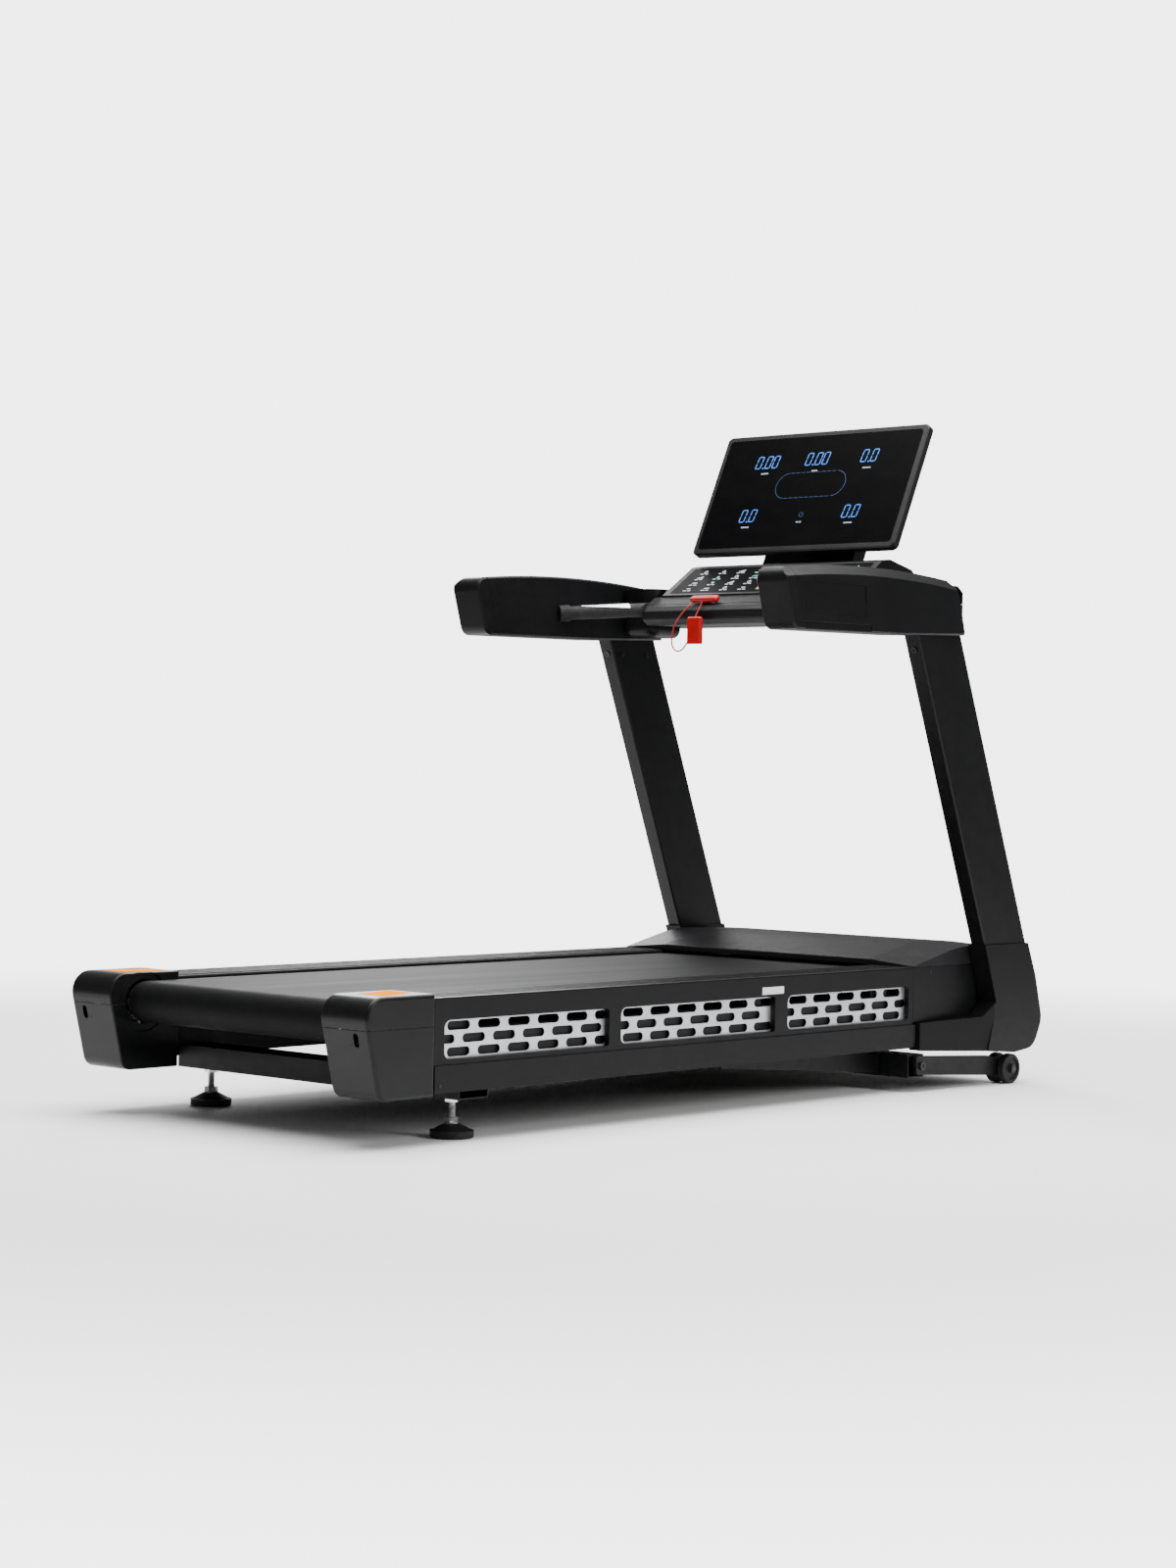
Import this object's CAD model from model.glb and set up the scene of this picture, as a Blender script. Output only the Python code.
from math import cos, pi, radians, sin

import bmesh
import bpy
from mathutils import Matrix, Vector


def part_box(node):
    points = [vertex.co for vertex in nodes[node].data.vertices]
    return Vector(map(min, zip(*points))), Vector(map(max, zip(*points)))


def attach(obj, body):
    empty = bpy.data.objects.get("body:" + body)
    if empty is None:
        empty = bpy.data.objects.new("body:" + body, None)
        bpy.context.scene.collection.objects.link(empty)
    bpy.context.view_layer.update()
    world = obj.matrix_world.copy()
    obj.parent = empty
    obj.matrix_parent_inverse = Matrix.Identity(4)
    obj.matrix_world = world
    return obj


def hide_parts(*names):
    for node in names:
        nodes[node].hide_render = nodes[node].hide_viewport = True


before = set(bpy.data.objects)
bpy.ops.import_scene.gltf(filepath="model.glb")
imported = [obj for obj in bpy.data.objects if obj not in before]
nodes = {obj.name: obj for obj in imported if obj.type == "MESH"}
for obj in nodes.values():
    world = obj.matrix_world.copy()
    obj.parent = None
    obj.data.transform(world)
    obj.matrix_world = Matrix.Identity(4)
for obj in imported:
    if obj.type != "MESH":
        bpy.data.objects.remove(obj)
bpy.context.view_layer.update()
scene = bpy.context.scene

# ---------------------------------------------------------------- camera
camera_data = bpy.data.cameras.new("camera")
camera_data.sensor_width = 36.0
camera_data.lens = 71.54
camera_place = (4.4762, -4.8835, 0.7213)
camera_data.clip_end = 200.0
camera = bpy.data.objects.new("camera", camera_data)
scene.collection.objects.link(camera)
yaw, pitch, roll = radians(42.452), radians(0.519), radians(0.960)
forward = Vector((-sin(yaw) * cos(pitch), cos(yaw) * cos(pitch), -sin(pitch)))
level = Vector((cos(yaw), sin(yaw), 0))
upward = level.cross(forward)
right = level * cos(roll) + upward * sin(roll)
top = -level * sin(roll) + upward * cos(roll)
turn = Matrix((right, top, -forward)).transposed().to_4x4()
camera.matrix_world = Matrix.Translation(camera_place) @ turn
scene.camera = camera


# ---------------------------------------------------------------- materials
def new_material(name):
    material = bpy.data.materials.new(name)
    material.use_nodes = True
    return material, material.node_tree, material.node_tree.nodes["Principled BSDF"]


def add(tree, kind, **values):
    node = tree.nodes.new(kind)
    for key, value in values.items():
        if hasattr(node, key):
            setattr(node, key, value)
        else:
            node.inputs[key].default_value = value
    return node


def coords(tree, stretch=(1, 1, 1)):
    """Object coordinates, in metres, stretched per axis."""
    source = add(tree, "ShaderNodeTexCoord")
    mapping = add(tree, "ShaderNodeMapping")
    mapping.inputs["Scale"].default_value = stretch
    tree.links.new(source.outputs["Object"], mapping.inputs["Vector"])
    return mapping.outputs["Vector"]


def noise(tree, vector, scale, detail=3.0, rough=0.55):
    node = add(tree, "ShaderNodeTexNoise")
    node.inputs["Scale"].default_value = scale
    node.inputs["Detail"].default_value = detail
    node.inputs["Roughness"].default_value = rough
    tree.links.new(vector, node.inputs["Vector"])
    return node.outputs["Fac"]


def remap(tree, value, low, high, from_low=0.3, from_high=0.7):
    node = add(tree, "ShaderNodeMapRange")
    node.inputs["From Min"].default_value = from_low
    node.inputs["From Max"].default_value = from_high
    node.inputs["To Min"].default_value = low
    node.inputs["To Max"].default_value = high
    tree.links.new(value, node.inputs["Value"])
    return node.outputs["Result"]


def tint(tree, factor, first, second):
    ramp = add(tree, "ShaderNodeValToRGB")
    ramp.color_ramp.elements[0].position = 0.32
    ramp.color_ramp.elements[1].position = 0.68
    ramp.color_ramp.elements[0].color = (*first, 1)
    ramp.color_ramp.elements[1].color = (*second, 1)
    tree.links.new(factor, ramp.inputs["Fac"])
    return ramp.outputs["Color"]


def bump(tree, height, strength, distance, below=None):
    node = add(tree, "ShaderNodeBump")
    node.inputs["Strength"].default_value = strength
    node.inputs["Distance"].default_value = distance
    tree.links.new(height, node.inputs["Height"])
    if below is not None:
        tree.links.new(below, node.inputs["Normal"])
    return node.outputs["Normal"]


def soft_edge(tree, radius):
    node = add(tree, "ShaderNodeBevel", samples=4)
    node.inputs["Radius"].default_value = radius
    return node.outputs["Normal"]


def shades(color, spread):
    return tuple(c * (1 - spread) for c in color), tuple(min(1, c * (1 + spread)) for c in color)


def moulded(name, color, rough=0.42, grain=1100, depth=0.00006, spread=0.18, edge=0.0012, specular=0.14):
    """Moulded plastic: fine grain, faint handling marks and soft edges."""
    material, tree, shader = new_material(name)
    plain = coords(tree)
    cloud = noise(tree, plain, 9, 4)
    tree.links.new(tint(tree, cloud, *shades(color, spread)), shader.inputs["Base Color"])
    wear = noise(tree, coords(tree, (1, 1, 2.5)), 26, 6, 0.65)
    tree.links.new(remap(tree, wear, rough - 0.05, rough + 0.07), shader.inputs["Roughness"])
    fine = noise(tree, plain, grain, 2)
    tree.links.new(bump(tree, fine, 0.35, depth, soft_edge(tree, edge)), shader.inputs["Normal"])
    shader.inputs["Specular IOR Level"].default_value = specular
    return material


def coated(name, color, rough=0.38, edge=0.0015):
    """Powder-coated steel: orange-peel texture with a satin sheen."""
    material, tree, shader = new_material(name)
    plain = coords(tree)
    tree.links.new(tint(tree, noise(tree, plain, 5, 3), *shades(color, 0.14)), shader.inputs["Base Color"])
    gloss = remap(tree, noise(tree, plain, 40, 5), rough - 0.04, rough + 0.06)
    tree.links.new(gloss, shader.inputs["Roughness"])
    peel = noise(tree, plain, 520, 2)
    speck = noise(tree, plain, 1600, 1)
    height = add(tree, "ShaderNodeMath", operation="ADD")
    tree.links.new(peel, height.inputs[0])
    tree.links.new(speck, height.inputs[1])
    relief = bump(tree, height.outputs[0], 0.3, 0.00008, soft_edge(tree, edge))
    tree.links.new(relief, shader.inputs["Normal"])
    shader.inputs["Specular IOR Level"].default_value = 0.2
    return material


def metal(name, color, rough, stretch, edge=0.0006, spread=0.08):
    """Worked metal: fine lines along one direction, a little uneven."""
    material, tree, shader = new_material(name)
    lines = noise(tree, coords(tree, stretch), 1, 4, 0.7)
    paint = tint(tree, noise(tree, coords(tree), 30, 4), *shades(color, spread))
    tree.links.new(paint, shader.inputs["Base Color"])
    tree.links.new(remap(tree, lines, rough - 0.06, rough + 0.1), shader.inputs["Roughness"])
    tree.links.new(bump(tree, lines, 0.15, 0.00004, soft_edge(tree, edge)), shader.inputs["Normal"])
    shader.inputs["Metallic"].default_value = 1.0
    return material


def threaded(name, color, rough, pitch):
    """Zinc-plated rod with a rolled thread along Z."""
    material, tree, shader = new_material(name)
    bands = add(tree, "ShaderNodeTexWave", wave_type="BANDS", bands_direction="Z", wave_profile="TRI")
    bands.inputs["Scale"].default_value = pi / (10 * pitch)
    tree.links.new(coords(tree), bands.inputs["Vector"])
    paint = tint(tree, noise(tree, coords(tree), 60, 4), *shades(color, 0.1))
    tree.links.new(paint, shader.inputs["Base Color"])
    tree.links.new(bump(tree, bands.outputs["Fac"], 0.9, 0.0006), shader.inputs["Normal"])
    gloss = remap(tree, noise(tree, coords(tree), 220, 3), rough - 0.05, rough + 0.08)
    tree.links.new(gloss, shader.inputs["Roughness"])
    shader.inputs["Metallic"].default_value = 1.0
    return material


def belt_material():
    """Running belt: a fine diamond weave pressed in rubber, with faint lengthwise wear."""
    material, tree, shader = new_material("running_belt")
    plain = coords(tree)
    waves = []
    for angle in (45, -45):
        mapping = add(tree, "ShaderNodeMapping")
        mapping.inputs["Rotation"].default_value = (0, 0, radians(angle))
        tree.links.new(plain, mapping.inputs["Vector"])
        wave = add(tree, "ShaderNodeTexWave", wave_type="BANDS", bands_direction="X", wave_profile="SIN")
        wave.inputs["Scale"].default_value = 120
        tree.links.new(mapping.outputs["Vector"], wave.inputs["Vector"])
        waves.append(wave.outputs["Fac"])
    weave = add(tree, "ShaderNodeMath", operation="MULTIPLY")
    tree.links.new(waves[0], weave.inputs[0])
    tree.links.new(waves[1], weave.inputs[1])
    streaks = noise(tree, coords(tree, (26, 0.8, 1)), 1, 4)
    paint = tint(tree, streaks, (0.0028, 0.0028, 0.003), (0.0038, 0.0038, 0.004))
    tree.links.new(paint, shader.inputs["Base Color"])
    tree.links.new(remap(tree, streaks, 0.58, 0.64), shader.inputs["Roughness"])
    shader.inputs["Specular IOR Level"].default_value = 0.09
    tree.links.new(bump(tree, weave.outputs[0], 0.4, 0.00025), shader.inputs["Normal"])
    return material


def glossy(name, color, rough=0.06, smears=0.05, specular=0.12):
    """Smooth cover glass or gloss film with faint smears."""
    material, tree, shader = new_material(name)
    shader.inputs["Base Color"].default_value = (*color, 1)
    cloud = noise(tree, coords(tree, (1, 1, 2)), 14, 6, 0.7)
    tree.links.new(tint(tree, cloud, *shades(color, 0.06)), shader.inputs["Base Color"])
    tree.links.new(remap(tree, cloud, rough, rough + smears), shader.inputs["Roughness"])
    tree.links.new(bump(tree, noise(tree, coords(tree), 6, 2), 0.02, 0.0004), shader.inputs["Normal"])
    shader.inputs["Specular IOR Level"].default_value = specular
    return material


def lit(name, color, strength):
    """Lit marks of a display: their glow varies a little from place to place."""
    material, tree, shader = new_material(name)
    cloud = noise(tree, coords(tree), 90, 2)
    tree.links.new(tint(tree, cloud, *shades(color, 0.12)), shader.inputs["Emission Color"])
    shader.inputs["Base Color"].default_value = (*color, 1)
    shader.inputs["Roughness"].default_value = 0.4
    shader.inputs["Emission Strength"].default_value = strength
    return material


def braided(name, color):
    """Braided cord: crossing strands over a tight core."""
    material, tree, shader = new_material(name)
    cells = add(tree, "ShaderNodeTexVoronoi", feature="F1")
    cells.inputs["Scale"].default_value = 1500
    tree.links.new(coords(tree, (1, 1, 0.6)), cells.inputs["Vector"])
    tree.links.new(tint(tree, cells.outputs["Distance"], *shades(color, 0.3)), shader.inputs["Base Color"])
    tree.links.new(bump(tree, cells.outputs["Distance"], 0.7, 0.0002), shader.inputs["Normal"])
    shader.inputs["Roughness"].default_value = 0.6
    shader.inputs["Sheen Weight"].default_value = 0.05
    return material


def rubber(name, color, ribs=None):
    """Rubber with a dry surface; ribs gives a fine cross ribbing."""
    material, tree, shader = new_material(name)
    plain = coords(tree)
    tree.links.new(tint(tree, noise(tree, plain, 40, 5), *shades(color, 0.25)), shader.inputs["Base Color"])
    tree.links.new(remap(tree, noise(tree, plain, 90, 4), 0.55, 0.72), shader.inputs["Roughness"])
    height = noise(tree, plain, 900, 2)
    if ribs:
        wave = add(tree, "ShaderNodeTexWave", wave_type="BANDS", bands_direction="Y", wave_profile="SIN")
        wave.inputs["Scale"].default_value = ribs
        tree.links.new(plain, wave.inputs["Vector"])
        height = wave.outputs["Fac"]
    tree.links.new(bump(tree, height, 0.5, 0.0002, soft_edge(tree, 0.001)), shader.inputs["Normal"])
    shader.inputs["Specular IOR Level"].default_value = 0.22
    return material


def film(name, color, second, specular=0.12):
    """Printed film: ink on a matt face, a little mottled."""
    material, tree, shader = new_material(name)
    cloud = noise(tree, coords(tree), 55, 5)
    tree.links.new(tint(tree, cloud, color, second), shader.inputs["Base Color"])
    tree.links.new(remap(tree, cloud, 0.55, 0.7), shader.inputs["Roughness"])
    tree.links.new(bump(tree, noise(tree, coords(tree), 500, 2), 0.2, 0.00005), shader.inputs["Normal"])
    shader.inputs["Specular IOR Level"].default_value = specular
    return material


black_plastic = moulded("black_plastic", (0.0032, 0.0032, 0.0036), 0.4)
cover_plastic = moulded("cover_plastic", (0.0038, 0.0038, 0.0042), 0.38)
cap_plastic = moulded("cap_plastic", (0.003, 0.003, 0.0034), 0.33, specular=0.2)
hood_plastic = moulded("hood_plastic", (0.0085, 0.0085, 0.0095), 0.42, grain=800)
rail_plastic = moulded("rail_plastic", (0.004, 0.004, 0.0044), 0.46, grain=700, depth=0.00004, specular=0.1)
arm_plastic = moulded("arm_plastic", (0.0045, 0.0045, 0.005), 0.38)
pocket_plastic = moulded("pocket_plastic", (0.0034, 0.0034, 0.0038), 0.42)
console_plastic = moulded("console_plastic", (0.0055, 0.0055, 0.006), 0.42)
screen_plastic = moulded("screen_plastic", (0.008, 0.008, 0.0088), 0.36, specular=0.28)
post_steel = coated("post_steel", (0.0036, 0.0036, 0.004))
frame_steel = coated("frame_steel", (0.003, 0.003, 0.0034), 0.45)
bolt_steel = metal("bolt_steel", (0.05, 0.05, 0.054), 0.4, (300, 300, 60))
grille_silver = metal("grille_silver", (0.62, 0.63, 0.65), 0.4, (900, 14, 900))
machined = metal("machined", (0.55, 0.56, 0.58), 0.28, (700, 40, 700))
zinc = metal("zinc", (0.66, 0.66, 0.68), 0.2, (300, 300, 60))
roller_steel = metal("roller_steel", (0.5, 0.5, 0.52), 0.25, (900, 60, 60))
cast = metal("cast", (0.35, 0.36, 0.37), 0.5, (220, 220, 220), spread=0.15)
thread_zinc = threaded("thread_zinc", (0.72, 0.72, 0.74), 0.16, 0.002)
sensor_steel = metal("sensor_steel", (0.75, 0.76, 0.78), 0.22, (60, 900, 60))
pad_rubber = rubber("pad_rubber", (0.012, 0.012, 0.0125))
grip_rubber = rubber("grip_rubber", (0.014, 0.014, 0.015), 420)
tyre_rubber = rubber("tyre_rubber", (0.013, 0.013, 0.0135))
drive_rubber = rubber("drive_rubber", (0.015, 0.015, 0.015))
screen_glass = glossy("screen_glass", (0.0009, 0.0009, 0.0012), 0.28, 0.08, 0.04)
key_glass = glossy("key_glass", (0.0012, 0.0012, 0.0015), 0.36, 0.08, 0.015)
board_face = film("board_face", (0.05, 0.045, 0.04), (0.07, 0.06, 0.05))
orange_film = film("orange_film", (0.82, 0.24, 0.001), (0.88, 0.28, 0.002), 0.0)
red_plastic = moulded("red_plastic", (0.36, 0.003, 0.003), 0.34, spread=0.12, edge=0.0008, specular=0.3)
red_braid = braided("red_braid", (0.32, 0.003, 0.003))
plate_film = film("plate_film", (0.55, 0.55, 0.56), (0.68, 0.68, 0.69))
mark_teal = lit("mark_teal", (0.05, 0.55, 0.6), 0.9)
mark_orange = lit("mark_orange", (0.9, 0.32, 0.04), 0.9)
mark_lit_white = lit("mark_lit_white", (0.6, 0.64, 0.68), 0.3)
digit_blue = lit("digit_blue", (0.04, 0.2, 0.7), 0.6)
track_blue = lit("track_blue", (0.012, 0.05, 0.14), 0.05)
label_grey = lit("label_grey", (0.4, 0.45, 0.52), 0.3)

finishes = {
    "base_frame": frame_steel,
    "roller_supports": machined,
    "roller_shafts": zinc,
    "deck_board": board_face,
    "deck_cushions": pad_rubber,
    "running_belt": belt_material(),
    "foot_rails": rail_plastic,
    "side_panels": cover_plastic,
    "side_skirts": black_plastic,
    "side_grilles": grille_silver,
    "rear_cap_lowers": cap_plastic,
    "rear_cap_uppers": cap_plastic,
    "motor_hood_centre": hood_plastic,
    "motor_hood_sides": hood_plastic,
    "front_panels": cover_plastic,
    "base_pan": frame_steel,
    "motor_plate": frame_steel,
    "drive_motor": cast,
    "drive_belt": drive_rubber,
    "inverter_box": cast,
    "uprights": post_steel,
    "boots": black_plastic,
    "arm_shells": arm_plastic,
    "arm_end_caps": arm_plastic,
    "arm_side_panels": pocket_plastic,
    "grip_bars": grip_rubber,
    "pulse_plates": sensor_steel,
    "console_frame": frame_steel,
    "console_lower": console_plastic,
    "console_upper": console_plastic,
    "key_panel_glass": key_glass,
    "cup_holders": black_plastic,
    "screen_neck": console_plastic,
    "screen_housing": screen_plastic,
    "screen_glass": screen_glass,
    "fasteners": bolt_steel,
    "labels": orange_film,
    "sockets": black_plastic,
    "rear_roller": roller_steel,
    "rear_roller_bearings": machined,
    "front_roller": roller_steel,
    "front_roller_bearings": machined,
    "roller_pulley": cast,
    "motor_rotor": machined,
    "lift_frame": frame_steel,
    "lift_wheel_bars": frame_steel,
    "wheels_left": tyre_rubber,
    "wheels_right": tyre_rubber,
    "wheel_axles": bolt_steel,
    "actuator_body": cast,
    "actuator_screw": machined,
    "foot_pad_left": pad_rubber,
    "foot_pad_right": pad_rubber,
    "foot_rod_left": thread_zinc,
    "foot_rod_right": thread_zinc,
    "safety_key": red_plastic,
    "key_clip": red_plastic,
    "power_rocker": pad_rubber,
}
for name, material in finishes.items():
    nodes[name].data.materials.clear()
    nodes[name].data.materials.append(material)

# the small plate on the right panel is grey, the labels on the caps are orange
plate_below = 0.26
label_mesh = nodes["labels"].data
label_mesh.materials.append(plate_film)
for polygon in label_mesh.polygons:
    if polygon.center.z < plate_below:
        polygon.material_index = 1

# the jam nuts on the foot rods are plated, the other screws and bolts are black
nuts_below, nut_reach = 0.12, 0.025
fastener_mesh = nodes["fasteners"].data
fastener_mesh.materials.append(zinc)
rods = [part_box("foot_rod_left"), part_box("foot_rod_right")]
rod_axes = [((low[0] + high[0]) / 2, (low[1] + high[1]) / 2) for low, high in rods]
for polygon in fastener_mesh.polygons:
    x, y, z = polygon.center
    on_rod = any(abs(x - rod_x) < nut_reach and abs(y - rod_y) < nut_reach for rod_x, rod_y in rod_axes)
    if z < nuts_below and on_rod:
        polygon.material_index = 1


# ---------------------------------------------------------------- helpers for pieces
def link(name, mesh, material, body):
    piece = bpy.data.objects.new(name, mesh)
    scene.collection.objects.link(piece)
    mesh.materials.append(material)
    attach(piece, body)
    return piece


def prism(build, outline, to_point, depth):
    """Adds a thin solid: outline points (across, up) raised from their plane by depth."""
    low = [build.verts.new(to_point(across, up, 0.0)) for across, up in outline]
    high = [build.verts.new(to_point(across, up, depth)) for across, up in outline]
    count = len(outline)
    build.faces.new(list(reversed(low)))
    build.faces.new(high)
    for index in range(count):
        after = (index + 1) % count
        build.faces.new((low[index], low[after], high[after], high[index]))


def marks_mesh(name, outlines, to_point, depth=0.00025):
    """One mesh of thin solids, one for each outline."""
    build = bmesh.new()
    for outline in outlines:
        prism(build, outline, to_point, depth)
    bmesh.ops.recalc_face_normals(build, faces=build.faces)
    mesh = bpy.data.meshes.new(name)
    build.to_mesh(mesh)
    build.free()
    return mesh


def bar(x0, y0, x1, y1):
    """Upright rectangle between two corners."""
    return [(x0, y0), (x1, y0), (x1, y1), (x0, y1)]


def stroke(start, end, width):
    """Thin bar between two points."""
    a, b = Vector(start), Vector(end)
    side = Vector((-(b - a).y, (b - a).x)).normalized() * width / 2
    return [tuple(a + side), tuple(a - side), tuple(b - side), tuple(b + side)]


def ring(cx, cy, radius, width, start=0.0, end=360.0, steps=28):
    """Arc between two angles in degrees, made of four-cornered pieces."""
    pieces = []
    for index in range(steps):
        a0 = radians(start + (end - start) * index / steps)
        a1 = radians(start + (end - start) * (index + 1) / steps)
        inner, outer = radius - width / 2, radius + width / 2
        pieces.append(
            [
                (cx + inner * cos(a0), cy + inner * sin(a0)),
                (cx + outer * cos(a0), cy + outer * sin(a0)),
                (cx + outer * cos(a1), cy + outer * sin(a1)),
                (cx + inner * cos(a1), cy + inner * sin(a1)),
            ]
        )
    return pieces


# ---------------------------------------------------------------- screen display
tilt = radians(24.7)
lean_up = Vector((0, sin(tilt), cos(tilt)))
facing = Vector((0, -cos(tilt), sin(tilt)))
glass_low, glass_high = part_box("screen_glass")
screen_width, screen_height = 0.59, 0.315
screen_foot = Vector((0, 0.67768, 1.197))
screen_middle = screen_foot + lean_up * (screen_height / 2)
screen_mark_sink = 0.00045


def on_screen(across, up, out):
    """Point of the glass, where the marks start a little below the surface."""
    return screen_middle + Vector((1, 0, 0)) * across + lean_up * up + facing * (out - screen_mark_sink)


SEGMENTS = {"0": "abcdef", "1": "bc", "2": "abged", "5": "afgcd", "8": "abcdefg"}


def digit(left, low, width, height, which):
    """Seven-segment digit, leaning a little to the right."""
    thick, gap, lean = height * 0.07, height * 0.02, 0.14
    spans = {
        "a": ((0, 1), (1, 1)),
        "d": ((0, 0), (1, 0)),
        "g": ((0, 0.5), (1, 0.5)),
        "f": ((0, 0.5), (0, 1)),
        "b": ((1, 0.5), (1, 1)),
        "e": ((0, 0), (0, 0.5)),
        "c": ((1, 0), (1, 0.5)),
    }
    pieces = []
    for key in SEGMENTS[which]:
        (x0, y0), (x1, y1) = spans[key]
        start = Vector((x0 * width, y0 * height))
        end = Vector((x1 * width, y1 * height))
        along = (end - start).normalized()
        side = Vector((-along.y, along.x))
        a, b = start + along * gap, end - along * gap
        half = thick / 2
        points = [
            a,
            a + along * half - side * half,
            b - along * half - side * half,
            b,
            b - along * half + side * half,
            a + along * half + side * half,
        ]
        pieces.append([(left + p.x + p.y * lean, low + p.y) for p in points])
    return pieces


def number(text, cx, cy, height):
    """Row of digits and points, centred on its place."""
    width, pitch, point_pitch = height * 0.46, height * 0.68, 0.22 * height
    length = sum(point_pitch if c == "." else pitch for c in text)
    left = cx - length / 2
    pieces = []
    for c in text:
        if c == ".":
            size = height * 0.11
            point_x, point_y = left + 0.02 * height, cy - height / 2
            pieces.append(bar(point_x, point_y - size / 2, point_x + size, point_y + size / 2))
            left += point_pitch
        else:
            pieces += digit(left, cy - height / 2, width, height, c)
            left += pitch
    return pieces


def spot(u, v):
    """Screen place from fractions across and down."""
    return (u - 0.5) * screen_width, (0.5 - v) * screen_height


digit_height = 0.031
digits = []
for text, u, v in (
    ("0.00", 0.25, 0.24),
    ("0.00", 0.5, 0.235),
    ("0.0", 0.755, 0.235),
    ("0.0", 0.235, 0.69),
    ("0.0", 0.745, 0.69),
):
    digits += number(text, *spot(u, v), digit_height)
link("screen_digits", marks_mesh("screen_digits", digits, on_screen), digit_blue, "base")

track = []
cx, cy = spot(0.5, 0.45)
half_run, radius, line = 0.068, 0.033, 0.0012
dashes, dash_gap = 9, 0.0035
for dash in range(dashes):
    x0 = cx - half_run + dash * 2 * half_run / dashes
    x1 = x0 + 2 * half_run / dashes - dash_gap
    for side in (-1, 1):
        track.append(stroke((x0, cy + side * radius), (x1, cy + side * radius), line))
for start, centre in ((-86, cx + half_run), (94, cx - half_run)):
    track += ring(centre, cy, radius, line, start, start + 172, 14)
track += ring(*spot(0.5, 0.7), 0.0055, line)
link("screen_track", marks_mesh("screen_track", track, on_screen), track_blue, "base")

label_bars, bar_gap, half_bar = 4, 0.0016, 0.0016
small = []
for u, v, width in (
    (0.25, 0.335, 0.022),
    (0.5, 0.335, 0.018),
    (0.755, 0.335, 0.024),
    (0.235, 0.785, 0.024),
    (0.745, 0.785, 0.024),
    (0.5, 0.76, 0.016),
):
    x, y = spot(u, v)
    for step in range(label_bars):
        x0 = x - width / 2 + step * width / label_bars
        small.append(bar(x0, y - half_bar, x0 + width / label_bars - bar_gap, y + half_bar))
link("screen_marks", marks_mesh("screen_marks", small, on_screen), label_grey, "base")


# ---------------------------------------------------------------- key panel marks
dash_low = Vector((0, 0.55768, 1.095))
dash_run = Vector((0, 0.104, 0.070))
dash_slope, dash_length = dash_run.normalized(), dash_run.length
dash_out = Vector((0, -dash_slope.z, dash_slope.y))
key_mark_sink = 0.00025


def on_keys(across, up, out):
    """Point of the key panel, where the marks start a little below the surface."""
    place = dash_low + Vector((1, 0, 0)) * across + dash_slope * (dash_length / 2 + up)
    return place + dash_out * (out - key_mark_sink)


def arrow(cx, cy, size, way):
    """Triangle that points up for way 1 and down for way -1."""
    foot = cy - way * size * 0.6
    outline = [(cx - size, foot), (cx + size, foot), (cx, cy + way * size)]
    return outline if way > 0 else outline[::-1]


def pill(cx, cy, half_long, half_high, lean=0.0):
    """Small filled bar of a key mark; lean slants it like an italic."""
    corners = ((-1, -1), (1, -1), (1, 1), (-1, 1))
    return [(cx + half_long * sx + lean * half_high * sy, cy + half_high * sy) for sx, sy in corners]


def key_icon(kind, x, up):
    """Outlines of one key's mark; none of them is a letter."""
    if kind == "plus":
        uprights = [pill(x, up + side * 0.0031, 0.0009, 0.0021) for side in (1, -1)]
        return [pill(x, up, 0.0052, 0.0009), *uprights]
    if kind == "minus":
        return [pill(x, up, 0.0058, 0.001)]
    if kind == "level":
        return [
            pill(x + (step - 1.5) * 0.0042, up - 0.003 + step * 0.001, 0.0013, 0.0016 + step * 0.001)
            for step in range(4)
        ]
    if kind == "wave":
        return [
            stroke((x + (step - 2) * 0.0036, up - 0.0022), (x + (step - 1) * 0.0036, up + 0.0022), 0.0014)
            for step in range(4)
        ]
    if kind == "dial":
        return ring(x, up, 0.0046, 0.0013, 0, 360, 18) + [pill(x, up + 0.0018, 0.0006, 0.0022)]
    if kind == "go":
        return [[(x - 0.0042, up - 0.0052), (x + 0.0058, up), (x - 0.0042, up + 0.0052)]]
    if kind == "stop":
        return [pill(x, up, 0.0105, 0.0052, 0.25)]
    return [arrow(x, up, 0.0048, 1 if kind == "up" else -1)]


key_rows = (
    (0.0405, ("dial", "plus", "level", "plus", "wave", "plus", "dial", "plus", "level")),
    (0.0155, ("level", "up", "dial", "wave", "go", "dial", "level", "up", "dial")),
    (-0.0095, ("wave", "down", "level", "dial", "wave", "go", "wave", "down", "plus")),
    (-0.0345, ("minus", "wave", "dial", "minus", "stop", "minus", "dial", "minus", "wave")),
)
middle_column, column_pitch = 4, 0.0545
white_keys, teal_keys, orange_keys = [], [], []
for up, kinds in key_rows:
    for column, kind in enumerate(kinds):
        x = (column - middle_column) * column_pitch
        if kind == "stop":
            orange_keys += key_icon(kind, x, up)
        elif kind in ("go", "up", "down") or (kind == "wave" and abs(column - middle_column) < 2):
            teal_keys += key_icon(kind, x, up)
        else:
            white_keys += key_icon(kind, x, up)
        white_keys += [pill(x + side * 0.0065, up - 0.0088, 0.0045, 0.0011, 0.3) for side in (-1, 1)]
key_marks = (
    ("white", white_keys, mark_lit_white),
    ("teal", teal_keys, mark_teal),
    ("orange", orange_keys, mark_orange),
)
for color, outlines, material in key_marks:
    name = "key_marks_" + color
    link(name, marks_mesh(name, outlines, on_keys), material, "base")

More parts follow.
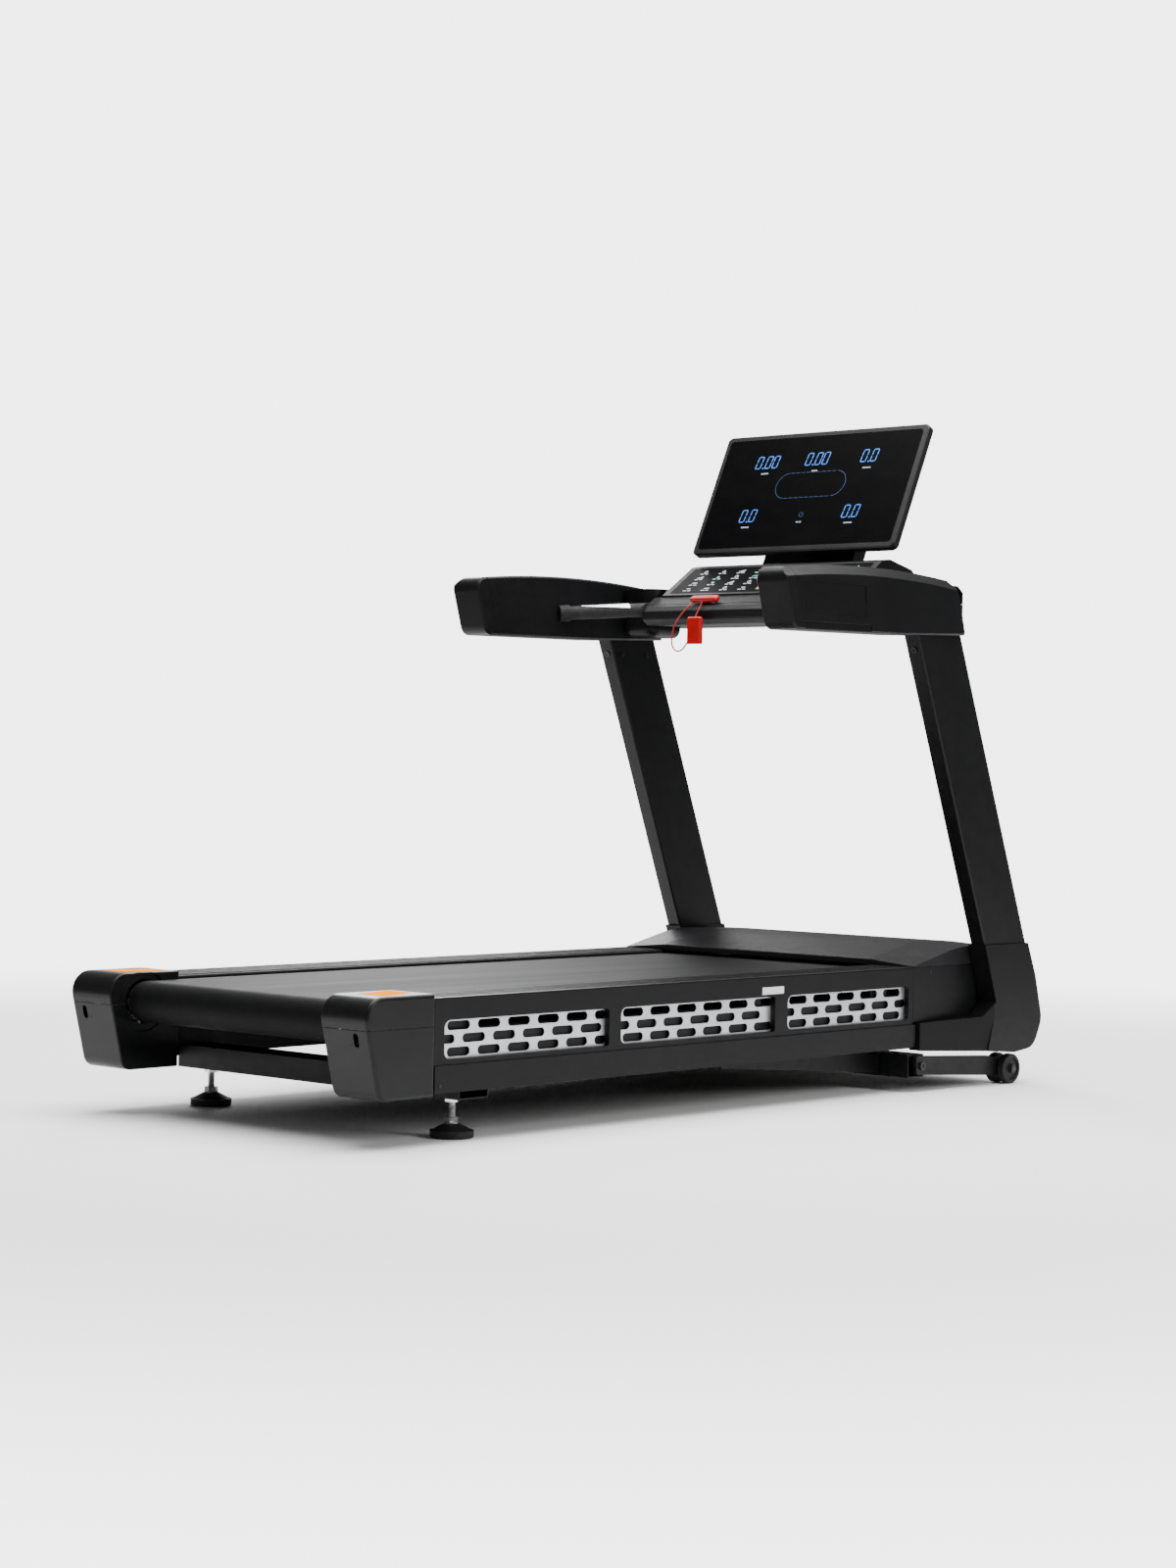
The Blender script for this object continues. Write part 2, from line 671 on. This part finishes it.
# ---------------------------------------------------------------- lanyard
key_x, cord_y, head_z = -0.126, 0.49768, 0.986
key_low, key_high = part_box("safety_key")
band = Vector((0, 0.033, 0.023)).normalized()
band_out = Vector((0, -band.z, band.y))
seat = Vector((key_x, 0.52468, 1.068)) + band * 0.014
key_end = seat + Vector((-0.030, 0, 0)) - band * 0.0093 + band_out * 0.0065
route = [
    key_end,
    key_end - band * 0.014,
    Vector((key_x - 0.050, cord_y + 0.007, head_z + 0.060)),
    Vector((key_x - 0.062, cord_y + 0.001, head_z + 0.038)),
    Vector((key_x - 0.068, cord_y, head_z + 0.016)),
    Vector((key_x - 0.070, cord_y, head_z - 0.005)),
    Vector((key_x - 0.060, cord_y + 0.001, head_z - 0.023)),
    Vector((key_x - 0.042, cord_y + 0.004, head_z - 0.022)),
    Vector((key_x - 0.029, cord_y + 0.009, head_z - 0.003)),
    Vector((key_x - 0.017, cord_y + 0.012, head_z + 0.020)),
    Vector((key_x - 0.008, cord_y + 0.0125, head_z + 0.044)),
    Vector((key_x - 0.0033, cord_y + 0.0095, head_z + 0.066)),
]
curve = bpy.data.curves.new("lanyard_cord", "CURVE")
curve.dimensions = "3D"
curve.bevel_depth = 0.0017
curve.bevel_resolution = 4
curve.resolution_u = 12
spline = curve.splines.new("NURBS")
spline.points.add(len(route) - 1)
for point, place in zip(spline.points, route):
    point.co = (*place, 1.0)
spline.order_u = 3
spline.use_endpoint_u = True
lanyard = bpy.data.objects.new("lanyard_cord", curve)
scene.collection.objects.link(lanyard)
curve.materials.append(red_braid)
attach(lanyard, "safety_key")
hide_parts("lanyard")

# ---------------------------------------------------------------- stage and light
floor_material, floor_tree, floor_shader = new_material("floor")
cloud = noise(floor_tree, coords(floor_tree), 0.6, 2)
paint = tint(floor_tree, cloud, (0.96, 0.96, 0.96), (0.98, 0.98, 0.98))
floor_tree.links.new(paint, floor_shader.inputs["Base Color"])
floor_shader.inputs["Roughness"].default_value = 0.85
floor_shader.inputs["Specular IOR Level"].default_value = 0.1
reach = add(floor_tree, "ShaderNodeVectorMath", operation="LENGTH")
floor_tree.links.new(coords(floor_tree), reach.inputs[0])
fade_start, fade_end = 1.9, 4.2
fade = remap(floor_tree, reach.outputs["Value"], 1.0, 0.0, fade_start, fade_end)
fade.node.interpolation_type = "SMOOTHSTEP"
floor_tree.links.new(fade, floor_shader.inputs["Alpha"])
floor_mesh = bpy.data.meshes.new("floor")
floor_build = bmesh.new()
bmesh.ops.create_grid(floor_build, x_segments=4, y_segments=4, size=60)
floor_build.to_mesh(floor_mesh)
floor_build.free()
floor_mesh.materials.append(floor_material)
floor = bpy.data.objects.new("floor", floor_mesh)
floor.location = (0, 0, -0.0005)
scene.collection.objects.link(floor)

world = bpy.data.worlds.new("studio")
world.use_nodes = True
world_tree = world.node_tree
background = world_tree.nodes["Background"]
background.inputs["Color"].default_value = (1.0, 1.0, 1.0, 1)
seen_directly = add(world_tree, "ShaderNodeLightPath").outputs["Is Camera Ray"]
fill_strength, backdrop_strength = 0.24, 4.6
backdrop_light = remap(world_tree, seen_directly, fill_strength, backdrop_strength, 0, 1)
world_tree.links.new(backdrop_light, background.inputs["Strength"])
scene.world = world


def area_light(name, place, aim, size, power):
    data = bpy.data.lights.new(name, "AREA")
    data.shape = "RECTANGLE"
    data.size, data.size_y = size
    data.energy = power
    light = bpy.data.objects.new(name, data)
    light.location = place
    light.rotation_euler = (Vector(aim) - Vector(place)).to_track_quat("-Z", "Y").to_euler()
    scene.collection.objects.link(light)


area_light("overhead", (0.2, 0.2, 4.6), (0, 0, 0.2), (5.5, 5.5), 760)
area_light("rear_left", (-3.6, 2.8, 2.6), (0, 0.2, 0.5), (1.4, 2.8), 150)
area_light("side_right", (4.8, 0.6, 2.2), (0.2, 0.2, 0.5), (1.0, 2.2), 120)
